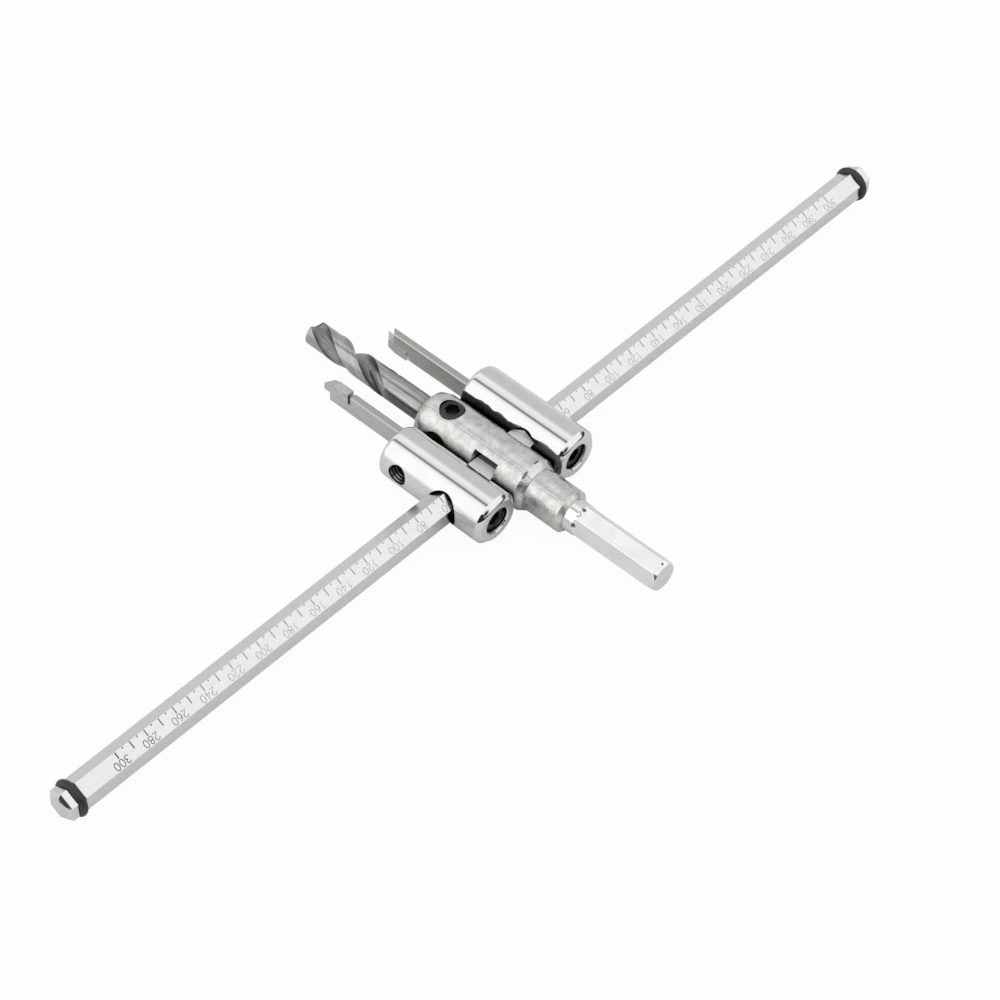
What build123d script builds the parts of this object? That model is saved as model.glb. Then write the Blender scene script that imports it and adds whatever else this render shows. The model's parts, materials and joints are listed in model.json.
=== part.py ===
from build123d import *
import os
from math import cos, radians, sin, sqrt, tan

os.makedirs("parts", exist_ok=True)

# Frame: the tool lies flat. X runs along the scale bar, Y along the arbor axis
# from the shank's end face (the origin) to the drill point, and Z is up.
# Sizes are in millimetres and angles in degrees.

# Stations along the arbor axis
beam_y = 60.0
collar_rear_y = 32.5
barrel_rear_y = 45.4
barrel_front_y = 87.4
top_screw_y = 77.9
side_screw_y = 77.0

# Running gap each side, gap at a seat, gap between the barrels
run_gap = 0.05
seat_gap = 0.02
barrel_gap = 0.25

# Shank, round stock with six flats
shank_d = 9.75
shank_af = 9.0
shank_turn = 10.0
shank_flat_len = 28.8
shank_socket_depth = 12.0
shank_end_d = 8.4
shank_end_cone = 1.6

# Arbor body
barrel_d = 16.2
collar_d = 13.1
collar_round = 1.1
neck_d = 13.8
barrel_rear_cone = 2.2
nose_len = 4.4
nose_d = 9.8
nose_shoulder = 2.7
nose_shoulder_d = 14.4
passage_gap = 0.05
mouth_height = 12.1
mouth_floor_x = 3.3

# Scale bar
bar_af = 8.4
bar_len = 326.4
bar_end_break = 0.8
ring_end_gap = 4.1
ring_section = 2.4
ring_sides = 12
groove_d = 6.45
groove_width = 2.7
spot_d = 3.2
spot_depth = 0.8
middle_flat_z = 3.05
middle_flat_len = 14.0

# Graduation: diameters of the hole, read at the inner side of a holder
scale_first = 60
scale_last = 300
scale_zero_x = 5.67
number_every = 20
ten_every = 10
mark_every = 5
mark_width = 0.35
mark_depth = 0.12
number_mark = 2.0
ten_mark = 2.4
five_mark = 0.6

# Pilot drill
drill_d = 8.0
drill_point_y = 133.8
drill_rear_y = 67.5
drill_bore_rear_y = 66.3
drill_gap = 0.03
point_angle = 118.0
flute_pitch = 37.0
flute_radius = 3.0
flute_sides = 12
web = 2.0
flute_rear_y = 100.5
runout_len = 9.0
drill_turn = -12.0
drill_rear_break = 0.5

# Holders
holder_d = 16.0
holder_rear = 14.5
holder_front = 23.6
holder_break = 1.5
holder_round = 2.0
cross_bore_d = 10.8
cross_bore_shift = 0.55
slot_floor = 6.6
slot_rise = 1.0

# Blades, measured from the beam axis and from the middle of the holder's slot
blade_offset = 3.0
blade_thick = 2.4
blade_back = 3.4
blade_edge = 3.4
blade_rear = 7.4
blade_front = 51.2
blade_break = 0.4
nose_lean = 2.0
right_blade_lead = 2.6
seat_rear = 43.3
seat_rise = 0.5

# Brazed cutting tips
tip_point = 53.4
tip_crown = 3.9
tip_crown_front = 48.9
tip_nose_top = 2.4
braze_gap = 0.02
notch_width = 1.0

# Set screws
drill_screw_d = 7.3
bar_screw_d = 8.0
bar_screw_len = 9.0
blade_screw_d = 6.0
blade_screw_len = 6.0
blade_screw_y = 76.0
beam_screw_d = 6.0
beam_screw_dog = 2.9
screw_sink = 0.35
side_screw_sink = 1.3
point_ratio = 0.6
wide_socket = 4.0
narrow_socket = 3.0
hole_break = 0.9
bore_break = 0.5

barrel_r = barrel_d / 2
holder_r = holder_d / 2
holder_x = barrel_r + holder_r + barrel_gap
bar_corner = bar_af / sqrt(3)
ring_pos = bar_len / 2 - ring_end_gap
drill_r = drill_d / 2
blade_x = holder_x - blade_offset
blade_face_x = blade_x + blade_thick / 2
point_len = drill_r / tan(radians(point_angle / 2))
flute_offset = web / 2 + flute_radius * cos(radians(180 / flute_sides))
arbor_axis = Axis((0, 0, 0), (0, 1, 0))
bar_axis = Axis((0, beam_y, 0), (1, 0, 0))

# Sketch plane of turned pieces: first coordinate along Y, second coordinate is the radius
turning = Plane(origin=(0, 0, 0), x_dir=(0, 1, 0), z_dir=(1, 0, 0))

# Upper flat on the shank side; its second direction climbs to the top ridge
scale_tilt = radians(60)
scale_flat = Plane(
    origin=(0, beam_y - bar_af / 2 * cos(scale_tilt), bar_af / 2 * sin(scale_tilt)),
    x_dir=(1, 0, 0),
    z_dir=(0, -cos(scale_tilt), sin(scale_tilt)),
)
ridge_v = bar_corner / 2

# Blade profile plane: first coordinate is the station ahead of the beam, second is the height
blade_side = Plane(origin=(-blade_x, beam_y, slot_rise), x_dir=(0, 1, 0), z_dir=(1, 0, 0))
outer_side = Plane(
    origin=(-holder_x - holder_r, blade_screw_y, slot_rise), x_dir=(0, 1, 0), z_dir=(1, 0, 0)
)


def across(y):
    """Plane square to the arbor axis at station y, looking toward the point, Z kept up."""
    return Plane(origin=(0, y, 0), x_dir=(-1, 0, 0), z_dir=(0, 1, 0))


def bar_plane(x):
    """Plane square to the bar at x, its first direction along Y."""
    return Plane(origin=(x, beam_y, 0), x_dir=(0, 1, 0), z_dir=(1, 0, 0))


def mark_length(size):
    """Length of the graduation mark that stands for a hole of this size."""
    if size % number_every == 0:
        return number_mark
    return ten_mark if size % ten_every == 0 else five_mark


def seat_line(y):
    """Height of the tip's underside at station y ahead of the beam, a braze film above the seat."""
    return seat_rise * (blade_front - y) / (blade_front - seat_rear) + braze_gap


def set_screw(seat, diameter, length, socket, tip_d, dog_len=0):
    """Headless screw along the seat plane's normal: socket end on the plane, point beyond it."""
    with BuildPart() as screw:
        with BuildSketch(seat):
            Circle(diameter / 2)
        extrude(amount=length)
        rims = screw.edges().filter_by(GeomType.CIRCLE)
        near = rims.sort_by(lambda e: (e.arc_center - seat.origin).length)[0]
        far = rims.sort_by(lambda e: (e.arc_center - seat.origin).length)[-1]
        chamfer(near, diameter * 0.06)
        if dog_len:
            with BuildSketch(seat.offset(length)):
                Circle(tip_d / 2)
            extrude(amount=dog_len)
        else:
            chamfer(far, (diameter - tip_d) / 2)
        with BuildSketch(seat):
            RegularPolygon(socket / 2, 6, major_radius=False)
        extrude(amount=length / 2, mode=Mode.SUBTRACT)
    return screw.part


# Arbor body, one casting: barrel, neck cone and collar, with the bar's passage across it
with BuildPart() as arbor_body:
    with BuildSketch(turning):
        with BuildLine():
            Polyline(
                (collar_rear_y, 0),
                (collar_rear_y, collar_d / 2 - collar_round),
                (collar_rear_y + collar_round, collar_d / 2),
                (barrel_rear_y, collar_d / 2),
                (barrel_rear_y, neck_d / 2),
                (barrel_rear_y + barrel_rear_cone, barrel_r),
                (barrel_front_y - nose_len, barrel_r),
                (barrel_front_y - nose_len + nose_shoulder, nose_shoulder_d / 2),
                (barrel_front_y, nose_d / 2),
                (barrel_front_y, 0),
                close=True,
            )
        make_face()
    revolve(axis=arbor_axis)
    # Six-sided passage, opening at both flanks into an oblong mouth as high as the core
    with BuildSketch(bar_plane(-barrel_r)):
        RegularPolygon(bar_af / 2 + passage_gap, 6, major_radius=False, rotation=30)
    extrude(amount=barrel_d, mode=Mode.SUBTRACT)
    for start, reach in ((-barrel_r, barrel_r - mouth_floor_x), (mouth_floor_x, barrel_r)):
        with BuildSketch(bar_plane(start)):
            Rectangle(bar_af + 2 * passage_gap, mouth_height)
        extrude(amount=reach, mode=Mode.SUBTRACT)
    # Bore for the drill and socket for the shank
    with BuildSketch(across(drill_bore_rear_y)):
        Circle(drill_r + drill_gap)
    extrude(amount=barrel_front_y, mode=Mode.SUBTRACT)
    with BuildSketch(across(collar_rear_y)):
        Circle(shank_d / 2)
    extrude(amount=shank_socket_depth, mode=Mode.SUBTRACT)
    # Holes for the two drill screws, the side one with a wide bevelled mouth
    with BuildSketch(Plane.XY):
        with Locations((0, top_screw_y)):
            Circle(drill_screw_d / 2 + run_gap)
    extrude(amount=barrel_d, mode=Mode.SUBTRACT)
    with BuildSketch(Plane(origin=(0, side_screw_y, 0), x_dir=(0, 1, 0), z_dir=(-1, 0, 0))):
        Circle(drill_screw_d / 2 + run_gap)
    extrude(amount=barrel_d, mode=Mode.SUBTRACT)
    with BuildSketch(Plane(origin=(-barrel_r, side_screw_y, 0), x_dir=(0, 1, 0), z_dir=(1, 0, 0))):
        Circle(drill_screw_d / 2 + hole_break)
    extrude(amount=2 * hole_break, taper=30, mode=Mode.SUBTRACT)
    # Hole for the beam screw, from below into the passage
    with BuildSketch(Plane(origin=(0, beam_y, 0), x_dir=(1, 0, 0), z_dir=(0, 0, -1))):
        Circle(beam_screw_d / 2 + run_gap)
    extrude(amount=barrel_d, mode=Mode.SUBTRACT)
arbor_body.part.label = "arbor_body"

# Shank: round stock, six flats up to a shoulder short of the collar, bevelled end
with BuildPart() as hex_shank:
    with BuildSketch(turning):
        with BuildLine():
            Polyline(
                (0, 0),
                (0, shank_end_d / 2),
                (shank_end_cone, shank_d / 2),
                (collar_rear_y + shank_socket_depth, shank_d / 2),
                (collar_rear_y + shank_socket_depth, 0),
                close=True,
            )
        make_face()
    revolve(axis=arbor_axis)
    with BuildSketch(across(0)):
        Circle(shank_d)
        RegularPolygon(shank_af / 2, 6, major_radius=False, rotation=-shank_turn, mode=Mode.SUBTRACT)
    extrude(amount=shank_flat_len, mode=Mode.SUBTRACT)
hex_shank.part.label = "hex_shank"

# Scale bar: six-sided, one ridge on top, a round groove near each end
with BuildPart() as scale_bar:
    with BuildSketch(bar_plane(-bar_len / 2)):
        RegularPolygon(bar_af / 2, 6, major_radius=False, rotation=30)
    extrude(amount=bar_len)
    chamfer(scale_bar.faces().filter_by(Axis.X).edges(), bar_end_break)
    with BuildSketch(Plane.XZ.offset(-beam_y)):
        with Locations((-ring_pos, bar_corner), (ring_pos, bar_corner)):
            Rectangle(groove_width, 2 * bar_corner - groove_d)
    revolve(axis=bar_axis, mode=Mode.SUBTRACT)
    with BuildSketch(Plane(origin=(0, beam_y, -bar_corner), z_dir=(0, 0, 1))):
        Circle(spot_d / 2)
    extrude(amount=spot_depth, mode=Mode.SUBTRACT)
    # The ridge is milled flat where the bar lies in the arbor
    with BuildSketch(Plane.XY.offset(middle_flat_z)):
        with Locations((0, beam_y)):
            Rectangle(middle_flat_len, bar_af)
    extrude(amount=bar_corner, mode=Mode.SUBTRACT)
    # Graduation, stamped into the upper flat on the shank side, marks hanging from the top ridge
    with BuildSketch(scale_flat):
        for size in range(scale_first, scale_last + 1, mark_every):
            length = mark_length(size)
            x = size / 2 - scale_zero_x
            with Locations((-x, ridge_v - length / 2), (x, ridge_v - length / 2)):
                Rectangle(mark_width, length)
    extrude(amount=-mark_depth, mode=Mode.SUBTRACT)
scale_bar.part.label = "scale_bar"


def o_ring(x):
    """Rubber ring seated on the floor of the bar's groove."""
    with BuildPart() as ring:
        with BuildSketch(Plane.XZ.offset(-beam_y)):
            with Locations((x, groove_d / 2 + ring_section / 2)):
                RegularPolygon(ring_section / 2, ring_sides)
        revolve(axis=bar_axis)
    return ring.part


def nose_cut(nose_y):
    """Wedge ahead of a blade's nose, leaning back toward the inner side."""
    with BuildPart() as wedge:
        with BuildSketch(Plane.XY.offset(-holder_r)):
            with BuildLine():
                Polyline(
                    (blade_thick / 2 - blade_x, beam_y + nose_y - nose_lean),
                    (-blade_thick / 2 - blade_x, beam_y + nose_y),
                    (blade_thick / 2 - blade_x, beam_y + nose_y),
                    close=True,
                )
            make_face()
        extrude(amount=holder_d)
    return wedge.part


# Left holder, plain round stock: cross bore for the bar, slot for the blade, two screw holes
with BuildPart() as holder_left:
    with BuildSketch(across(beam_y - holder_rear)):
        with Locations((holder_x, 0)):
            Circle(holder_r)
    extrude(amount=holder_rear + holder_front)
    chamfer(holder_left.edges().filter_by(GeomType.CIRCLE).sort_by(Axis.Y)[0], holder_break)
    fillet(holder_left.edges().filter_by(GeomType.CIRCLE).sort_by(Axis.Y)[-1], holder_round)
    with BuildSketch(bar_plane(-holder_x - holder_r)):
        with Locations((-cross_bore_shift, 0)):
            Circle(cross_bore_d / 2)
    extrude(amount=holder_d, mode=Mode.SUBTRACT)
    with BuildSketch(across(beam_y + slot_floor)):
        with Locations((blade_x, slot_rise + (blade_edge - blade_back) / 2)):
            Rectangle(blade_thick + 2 * run_gap, blade_edge + blade_back + 2 * run_gap)
    extrude(amount=holder_front, mode=Mode.SUBTRACT)
    with BuildSketch(across(beam_y - holder_rear)):
        with Locations((holder_x, 0)):
            Circle(bar_screw_d / 2 + run_gap)
    extrude(amount=holder_rear, mode=Mode.SUBTRACT)
    with BuildSketch(across(beam_y - holder_rear)):
        with Locations((holder_x, 0)):
            Circle(bar_screw_d / 2 + bore_break)
    extrude(amount=bore_break, taper=45, mode=Mode.SUBTRACT)
    with BuildSketch(outer_side):
        Circle(blade_screw_d / 2 + run_gap)
    extrude(amount=holder_r + blade_offset, mode=Mode.SUBTRACT)
holder_left.part.label = "holder_left"

# Left blade: flat ground stock with a seat for the tip cut into its upper front corner
with BuildPart() as blade_left:
    with BuildSketch(blade_side):
        with BuildLine():
            Polyline(
                (blade_rear, -blade_back),
                (blade_front, -blade_back),
                (blade_front, 0),
                (seat_rear, seat_rise),
                (seat_rear, blade_edge),
                (blade_rear, blade_edge),
                close=True,
            )
        make_face()
    extrude(amount=blade_thick / 2, both=True)
    chamfer(blade_left.edges().filter_by(Axis.X).group_by(Axis.Y)[0], blade_break)
    long_edges = blade_left.edges().filter_by(Axis.Y)
    chamfer(long_edges.group_by(Axis.Z)[0] + long_edges.group_by(Axis.Z)[-1], blade_break)
    add(nose_cut(blade_front), mode=Mode.SUBTRACT)
blade_left.part.label = "blade_left"

# Left cutting tip: hard metal, crowned above the blade and reaching ahead of it
with BuildPart() as blade_tip_left:
    with BuildSketch(blade_side):
        with BuildLine():
            Polyline(
                (seat_rear + notch_width, seat_line(seat_rear + notch_width)),
                (tip_point, seat_line(tip_point)),
                (tip_point, tip_nose_top),
                (tip_crown_front, tip_crown),
                (seat_rear + notch_width, tip_crown),
                close=True,
            )
        make_face()
    extrude(amount=blade_thick / 2, both=True)
    add(nose_cut(tip_point), mode=Mode.SUBTRACT)
blade_tip_left.part.label = "blade_tip_left"

# Right holder, the left one's mirror image, its slot above the middle as well
with BuildPart() as holder_right:
    mirror(holder_left.part, about=Plane.YZ)
holder_right.part.label = "holder_right"

# Right blade and tip: the left ones turned half round, lifted into the right holder's slot
with BuildPart() as blade_right:
    with Locations((0, right_blade_lead, 2 * slot_rise)):
        add(blade_left.part, rotation=(0, 180, 0))
blade_right.part.label = "blade_right"

with BuildPart() as blade_tip_right:
    with Locations((0, right_blade_lead, 2 * slot_rise)):
        add(blade_tip_left.part, rotation=(0, 180, 0))
blade_tip_right.part.label = "blade_tip_right"

# Pilot drill: round stock with two flutes wound along the axis
with BuildSketch(across(flute_rear_y)) as flute_section:
    with PolarLocations(flute_offset, 2, start_angle=drill_turn):
        RegularPolygon(flute_radius, flute_sides, rotation=180 / flute_sides)

flute_len = drill_point_y - flute_rear_y
flute_cuts = [
    Solid.extrude_linear_with_rotation(
        section, (0, flute_rear_y, 0), (0, flute_len, 0), 360 * flute_len / flute_pitch
    )
    for section in flute_section.sketch.faces()
]

with BuildPart() as pilot_drill:
    with BuildSketch(across(drill_rear_y)):
        Circle(drill_r)
    extrude(amount=drill_point_y - drill_rear_y)
    chamfer(pilot_drill.edges().sort_by(Axis.Y)[0], drill_rear_break)
    for cut in flute_cuts:
        add(cut, mode=Mode.SUBTRACT)
    # The flutes run out over a core that swells to full size
    with BuildSketch(turning):
        with BuildLine():
            Polyline(
                (flute_rear_y, 0),
                (flute_rear_y, drill_r),
                (flute_rear_y + runout_len, web / 2),
                (flute_rear_y + runout_len, 0),
                close=True,
            )
        make_face()
    revolve(axis=arbor_axis)
    # Cone point, turned from outside
    with BuildSketch(turning):
        with BuildLine():
            Polyline(
                (drill_point_y, 0),
                (drill_point_y - 2 * point_len, 2 * drill_r),
                (drill_point_y + point_len, 2 * drill_r),
                (drill_point_y + point_len, 0),
                close=True,
            )
        make_face()
    revolve(axis=arbor_axis, mode=Mode.SUBTRACT)
pilot_drill.part.label = "pilot_drill"

# Set screws, each named for what it locks
top_seat = Plane(origin=(0, top_screw_y, barrel_r - screw_sink), z_dir=(0, 0, -1))
side_seat = Plane(origin=(-barrel_r + side_screw_sink, side_screw_y, 0), z_dir=(1, 0, 0))
beam_seat = Plane(origin=(0, beam_y, -barrel_r + screw_sink), z_dir=(0, 0, 1))
bar_screw_y = beam_y - bar_af / 2 - seat_gap - bar_screw_len
rear_seat = Plane(origin=(-holder_x, bar_screw_y, 0), z_dir=(0, 1, 0))
outer_seat = Plane(
    origin=(-blade_face_x - seat_gap - blade_screw_len, blade_screw_y, slot_rise), z_dir=(1, 0, 0)
)
drill_screw_tip = drill_screw_d * point_ratio
beam_screw_len = barrel_r - screw_sink - bar_corner - run_gap

screws = {
    "drill_lock_screw": set_screw(
        top_seat, drill_screw_d, top_seat.origin.Z - drill_r - seat_gap, wide_socket, drill_screw_tip
    ),
    "side_lock_screw": set_screw(
        side_seat, drill_screw_d, -side_seat.origin.X - drill_r - seat_gap, wide_socket, drill_screw_tip
    ),
    "beam_lock_screw": set_screw(
        beam_seat, beam_screw_d, beam_screw_len, narrow_socket, beam_screw_dog,
        dog_len=spot_depth + run_gap - seat_gap,
    ),
    "bar_lock_screw_left": set_screw(
        rear_seat, bar_screw_d, bar_screw_len, wide_socket, bar_screw_d * point_ratio
    ),
    "blade_lock_screw_left": set_screw(
        outer_seat, blade_screw_d, blade_screw_len, narrow_socket, blade_screw_d * point_ratio
    ),
}
for name, lift in (("bar_lock_screw", 0), ("blade_lock_screw", 2 * slot_rise)):
    with BuildPart() as turned_screw:
        with Locations((0, 0, lift)):
            add(screws[name + "_left"], rotation=(0, 180, 0))
    screws[name + "_right"] = turned_screw.part

pieces = [
    arbor_body.part,
    hex_shank.part,
    scale_bar.part,
    holder_left.part,
    holder_right.part,
    blade_left.part,
    blade_right.part,
    blade_tip_left.part,
    blade_tip_right.part,
    pilot_drill.part,
]
for name, x in (("o_ring_left", -ring_pos), ("o_ring_right", ring_pos)):
    ring = o_ring(x)
    ring.label = name
    pieces.append(ring)
for name, screw in screws.items():
    screw.label = name
    pieces.append(screw)

for piece in pieces:
    export_step(piece, f"parts/{piece.label}.step")
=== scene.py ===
import json
import math

import bpy
import numpy as np
from mathutils import Matrix, Vector

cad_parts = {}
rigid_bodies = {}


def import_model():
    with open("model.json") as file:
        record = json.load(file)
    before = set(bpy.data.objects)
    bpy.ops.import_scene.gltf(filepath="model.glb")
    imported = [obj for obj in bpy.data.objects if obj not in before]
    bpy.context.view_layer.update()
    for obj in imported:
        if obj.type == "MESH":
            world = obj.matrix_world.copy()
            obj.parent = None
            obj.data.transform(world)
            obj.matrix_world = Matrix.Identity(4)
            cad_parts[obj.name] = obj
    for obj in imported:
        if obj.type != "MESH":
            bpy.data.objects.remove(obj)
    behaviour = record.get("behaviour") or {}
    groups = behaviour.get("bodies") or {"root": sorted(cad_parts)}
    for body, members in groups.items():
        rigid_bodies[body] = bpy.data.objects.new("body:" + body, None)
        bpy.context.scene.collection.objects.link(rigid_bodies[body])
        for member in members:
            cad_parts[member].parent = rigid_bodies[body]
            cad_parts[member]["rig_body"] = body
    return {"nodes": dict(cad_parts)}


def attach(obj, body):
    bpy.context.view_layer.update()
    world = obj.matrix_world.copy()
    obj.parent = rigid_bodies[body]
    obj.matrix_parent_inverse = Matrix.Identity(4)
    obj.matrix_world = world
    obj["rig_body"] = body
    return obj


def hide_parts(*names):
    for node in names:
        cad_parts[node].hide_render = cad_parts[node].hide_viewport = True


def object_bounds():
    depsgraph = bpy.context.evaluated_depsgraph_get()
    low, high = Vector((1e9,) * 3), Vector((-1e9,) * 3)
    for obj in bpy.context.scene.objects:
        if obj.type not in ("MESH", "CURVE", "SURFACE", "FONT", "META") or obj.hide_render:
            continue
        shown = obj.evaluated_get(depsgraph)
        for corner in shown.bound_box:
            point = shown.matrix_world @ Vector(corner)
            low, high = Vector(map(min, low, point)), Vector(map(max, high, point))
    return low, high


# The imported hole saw. Its arbor lies along Y with the drill point ahead, its scale bar along X,
# and Z is up. Lengths below are written in millimetres and turned into metres with mm.
for leftover in list(bpy.data.objects):
    bpy.data.objects.remove(leftover)
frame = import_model()
cad_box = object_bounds()
mm = 0.001


# Arbor body: one steel-grey alloy casting, nickel plated over a slightly pitted skin, with the
# line where the two halves of its mould met. The barrel and collar are turned, the nose is round.
barrel_radius = 8.1 * mm
nose_start = 83.0 * mm
nose_end = 87.4 * mm
drill_screw_radius = 3.7 * mm
drill_screw_y = 77.9 * mm
side_screw_y = 77.0 * mm
coarse_pitch = 1.25
y_axis = np.array([0.0, 1.0, 0.0])
x_axis = np.array([1.0, 0.0, 0.0])
z_axis = np.array([0.0, 0.0, 1.0])


def corner_places(mesh):
    """Places of the three corners of every triangle, as one array."""
    corners = np.empty(len(mesh.loops), int)
    places = np.empty(3 * len(mesh.vertices))
    mesh.loops.foreach_get("vertex_index", corners)
    mesh.vertices.foreach_get("co", places)
    return places.reshape(-1, 3)[corners].reshape(-1, 3, 3)


def shown_object(name, mesh):
    """An object with this mesh or lens, put into the scene."""
    made = bpy.data.objects.new(name, mesh)
    bpy.context.scene.collection.objects.link(made)
    return made


def turned_copy(node, turned, rounds=(), moves=()):
    """Copy of a CAD node whose turned faces catch the light as round ones do.

    turned lists (point on the axis, direction of the axis, smallest radius, largest radius): a
    face between those radii that looks toward or away from the axis takes, at each corner, the
    direction from the axis to that corner, tipped along the axis as far as the flat face is.
    rounds lists (point, direction, start, end, tip at start, tip at end): between those stations
    the tip changes evenly, so a straight bevel catches the light as a rounded one.
    moves lists (place, new place) for single corners of the copy.
    """
    mesh = frame["nodes"][node].data.copy()
    spots = np.empty(3 * len(mesh.vertices))
    mesh.vertices.foreach_get("co", spots)
    spots = spots.reshape(-1, 3)
    for old, new in moves:
        spots[np.linalg.norm(spots - np.array(old), axis=1) < 0.02 * mm] = new
    mesh.vertices.foreach_set("co", spots.ravel())
    places = corner_places(mesh)
    flat = np.cross(places[:, 1] - places[:, 0], places[:, 2] - places[:, 0])
    flat /= np.maximum(np.linalg.norm(flat, axis=1, keepdims=True), 1e-20)
    normals = np.repeat(flat[:, None, :], 3, axis=1)
    for point, axis, low, high in turned:
        away = places - np.array(point)
        away -= (away @ axis)[..., None] * axis
        radius = np.linalg.norm(away, axis=2)
        outward = away / np.maximum(radius, 1e-9)[..., None]
        middle = outward.mean(axis=1)
        middle /= np.maximum(np.linalg.norm(middle, axis=1, keepdims=True), 1e-9)
        tip = flat @ axis
        facing = (flat * middle).sum(axis=1)
        side_part = flat - tip[:, None] * axis
        side_part /= np.maximum(np.linalg.norm(side_part, axis=1, keepdims=True), 1e-9)
        agreement = np.abs((outward * side_part[:, None, :]).sum(axis=2)).min(axis=1)
        fits = (radius.min(axis=1) > low) & (radius.max(axis=1) < high)
        fits &= (np.abs(facing) > 0.15) & (agreement > 0.97)
        tips = np.repeat(tip[:, None], 3, axis=1)
        for start, end, tip_start, tip_end in rounds:
            station = (places - np.array(point)) @ axis
            inside = (station.min(axis=1) > start - 1e-5) & (station.max(axis=1) < end + 1e-5)
            inside &= facing > 0.1
            share = np.clip((station - start) / (end - start), 0, 1)
            tips = np.where(inside[:, None], tip_start + (tip_end - tip_start) * share, tips)
        reach = np.sqrt(np.maximum(1 - tips**2, 0))[..., None]
        curved = np.sign(facing)[:, None, None] * outward * reach + tips[..., None] * axis
        normals[fits] = curved[fits]
    mesh.shade_smooth()
    mesh.normals_split_custom_set(normals.reshape(-1, 3))
    return shown_object(node + "_finished", mesh)


def settle(piece, node, material):
    """The piece takes a material, stands for a CAD node and moves with that node's body."""
    piece.data.materials.clear()
    piece.data.materials.append(material)
    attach(piece, frame["nodes"][node]["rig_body"])
    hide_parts(node)


def new_material(name, colour, metallic, roughness):
    """A material with one Principled surface set to these plain values."""
    material = bpy.data.materials.new(name)
    material.use_nodes = True
    tree = material.node_tree
    surface = tree.nodes["Principled BSDF"]
    surface.inputs["Base Color"].default_value = (*colour, 1)
    surface.inputs["Metallic"].default_value = metallic
    surface.inputs["Roughness"].default_value = roughness
    return material, tree, surface


def put(tree, kind, values=(), **settings):
    """A new node with its options, and its inputs set to values or joined to other sockets."""
    node = tree.nodes.new(kind)
    for name, value in settings.items():
        setattr(node, name, value)
    for key, value in dict(values).items():
        if isinstance(value, bpy.types.NodeSocket):
            tree.links.new(value, node.inputs[key])
        else:
            node.inputs[key].default_value = value
    return node


def math_of(tree, operation, first, second=0.0):
    """One or two numbers or sockets worked on by one Math node."""
    return put(tree, "ShaderNodeMath", {0: first, 1: second}, operation=operation).outputs[0]


def vector_math_of(tree, operation, first, second):
    """The number that one Vector Math node makes of two vectors."""
    node = put(tree, "ShaderNodeVectorMath", {0: first, 1: second}, operation=operation)
    return node.outputs["Value"]


def sum_of(tree, first, second):
    """The first number or socket and the second together."""
    return math_of(tree, "ADD", first, second)


def less_of(tree, first, second):
    """The first number or socket less the second."""
    return math_of(tree, "SUBTRACT", first, second)


def product_of(tree, first, second):
    """The first number or socket times the second."""
    return math_of(tree, "MULTIPLY", first, second)


def blend_of(tree, share, first, second):
    """A colour between two colours; a mix node's colours are its sixth and seventh inputs."""
    return put(tree, "ShaderNodeMix", {0: share, 6: first, 7: second}, data_type="RGBA").outputs[2]


def level_of(tree, share, first, second):
    """A number between two numbers."""
    return put(tree, "ShaderNodeMix", {0: share, 2: first, 3: second}, data_type="FLOAT").outputs[0]


def ramp_of(tree, value, low, high, to_low=0.0, to_high=1.0):
    """The value carried from one range to another, and held at its ends."""
    values = {"Value": value, "From Min": low, "From Max": high, "To Min": to_low, "To Max": to_high}
    return put(tree, "ShaderNodeMapRange", values).outputs["Result"]


def stretched(tree, scale, turn=(0, 0, 0)):
    """Object coordinates in millimetres, multiplied along each axis."""
    place = put(tree, "ShaderNodeTexCoord").outputs["Object"]
    values = {"Vector": place, "Scale": [1000 * s for s in scale], "Rotation": turn}
    return put(tree, "ShaderNodeMapping", values).outputs["Vector"]


def noise(tree, vector, scale, detail=3.0, roughness=0.5):
    """Smooth cloudy noise, 0 to 1."""
    values = {"Vector": vector, "Scale": scale, "Detail": detail, "Roughness": roughness}
    return put(tree, "ShaderNodeTexNoise", values).outputs["Fac"]


def bump(tree, height, distance, strength=1.0, normal=None):
    """A normal tipped by a height map; distance in millimetres is the height of the value 1."""
    values = {"Height": height, "Distance": distance * mm, "Strength": strength}
    if normal is not None:
        values["Normal"] = normal
    return put(tree, "ShaderNodeBump", values).outputs["Normal"]


def group_with(name, inputs, outputs):
    """An empty shader group with named number, vector or colour sockets."""
    group = bpy.data.node_groups.new(name, "ShaderNodeTree")
    for socket, kind, value in inputs:
        made = group.interface.new_socket(socket, in_out="INPUT", socket_type=kind)
        if value is not None:
            made.default_value = value
    for socket, kind in outputs:
        group.interface.new_socket(socket, in_out="OUTPUT", socket_type=kind)
    return group, group.nodes.new("NodeGroupInput"), group.nodes.new("NodeGroupOutput")


# Edge wear, shared: the normal rounded over sharp edges, and a mask of the rubbed strip there
edge_wear, wear_in, wear_out = group_with(
    "edge_wear",
    [("Radius", "NodeSocketFloat", 0.12 * mm)],
    [("Normal", "NodeSocketVector"), ("Mask", "NodeSocketFloat")],
)
rounded = put(edge_wear, "ShaderNodeBevel", {"Radius": wear_in.outputs["Radius"]}, samples=6)
straight = put(edge_wear, "ShaderNodeNewGeometry")
likeness = vector_math_of(
    edge_wear, "DOT_PRODUCT", rounded.outputs["Normal"], straight.outputs["Normal"]
)
edge_wear.links.new(rounded.outputs["Normal"], wear_out.inputs["Normal"])
edge_wear.links.new(ramp_of(edge_wear, likeness, 0.995, 0.9), wear_out.inputs["Mask"])

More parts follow.
